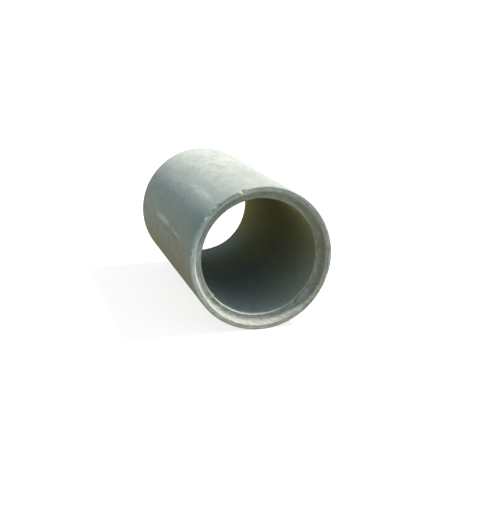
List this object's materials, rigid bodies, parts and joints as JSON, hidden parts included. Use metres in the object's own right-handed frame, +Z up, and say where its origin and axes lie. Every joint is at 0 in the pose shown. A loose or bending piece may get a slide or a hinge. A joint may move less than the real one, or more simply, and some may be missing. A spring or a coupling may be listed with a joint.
{
  "type": "concrete sewer pipe",
  "caption": "Short precast concrete sewer pipe with a tapered groove in one end and a matching tongue on the other, rim chipped, lying on its side.",
  "frame": {"origin": "on the ground under the middle of the pipe, on the line along which its barrel touches the ground", "axes": "+Y along the pipe's axis, from the groove end to the tongue end; +Z up; +X across the pipe"},
  "size_m": [0.74, 1.292, 0.74],
  "materials": {
    "concrete": "matte"
  },
  "bodies": {
    "root": {"concrete_pipe": "concrete"}
  },
  "joints": []
}
